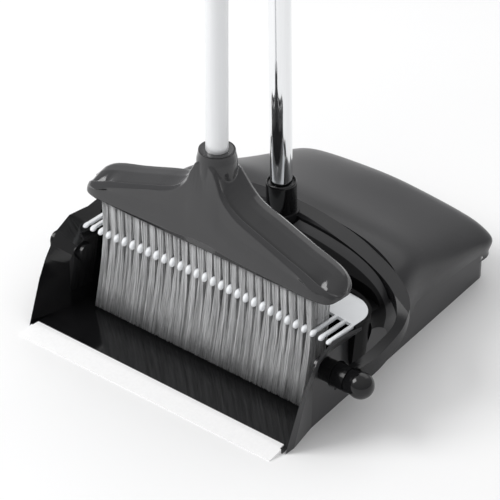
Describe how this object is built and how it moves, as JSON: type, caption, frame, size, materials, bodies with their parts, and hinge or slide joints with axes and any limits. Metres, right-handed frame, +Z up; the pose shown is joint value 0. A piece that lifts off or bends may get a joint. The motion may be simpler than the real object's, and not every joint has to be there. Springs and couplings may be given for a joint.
{
  "type": "dust pan and brush set",
  "caption": "Upright lidded dustpan on a swinging yoke with a comb across its mouth, and a long-handled broom parked with its bristles in the comb.",
  "frame": {"origin": "on the floor, under the middle of the whole set's box", "axes": "+X to the pan's right-hand side (the side with the pivot ball), +Y from the mouth to the rear, +Z up along the poles"},
  "size_m": [0.3325, 0.32, 0.93],
  "materials": {
    "pan_plastic": "moulded, glossy",
    "cover_plastic": "moulded, satin gloss",
    "lip_rubber": "soft, satin",
    "comb_plastic": "moulded, satin gloss",
    "yoke_plastic": "moulded, glossy",
    "pivot_plastic": "moulded, glossy",
    "pin_plastic": "moulded, glossy",
    "screw_steel": "zinc plated",
    "socket_plastic": "moulded, glossy",
    "clip_plastic": "moulded, glossy",
    "chrome_tube": "polished",
    "silver_tube": "silver satin",
    "joiner_plastic": "moulded",
    "grip_rubber": "soft, matt",
    "cap_plastic": "moulded",
    "head_plastic": "moulded, glossy",
    "block_plastic": "moulded",
    "bristle_fibre": "fine extruded fibre"
  },
  "bodies": {
    "pan": {"pan_base": "pan_plastic", "front_lip": "lip_rubber", "pan_cover": "cover_plastic", "cover_screws": "screw_steel", "comb_plate": "comb_plastic", "comb_teeth": "comb_plastic", "pivot_bush_right": "pivot_plastic", "pivot_pin_right": "pin_plastic", "pivot_washer_right": "pivot_plastic", "pivot_cap_right": "pivot_plastic", "pivot_bush_left": "pivot_plastic", "pivot_pin_left": "pin_plastic", "pivot_washer_left": "pivot_plastic", "pivot_cap_left": "pivot_plastic"},
    "yoke": {"yoke": "yoke_plastic", "pole_socket": "socket_plastic", "pole_clip": "clip_plastic", "clip_screw": "screw_steel", "pan_tube_lower": "chrome_tube", "pan_tube_middle": "chrome_tube", "pan_tube_upper": "chrome_tube", "pan_joiner_lower": "joiner_plastic", "pan_joiner_upper": "joiner_plastic", "pan_grip": "grip_rubber", "pan_end_cap": "cap_plastic"},
    "broom": {"broom_head": "head_plastic", "bristle_block": "block_plastic", "bristles": "bristle_fibre", "broom_tube_plug": "joiner_plastic", "broom_tube_lower": "silver_tube", "broom_tube_middle": "silver_tube", "broom_tube_upper": "silver_tube", "broom_joiner_lower": "joiner_plastic", "broom_joiner_upper": "joiner_plastic", "broom_grip": "grip_rubber", "broom_end_cap": "cap_plastic"}
  },
  "joints": [
    {"name": "yoke_pivot", "type": "hinge", "parent": "pan", "child": "yoke", "pos_m": [-0.00875, -0.089, 0.0485], "axis": [1, 0, 0], "range_deg": [0, 90]},
    {"name": "broom_lift", "type": "slide", "parent": "yoke", "child": "broom", "axis": [0, 0, 1], "range_m": [0, 0.3]}
  ]
}
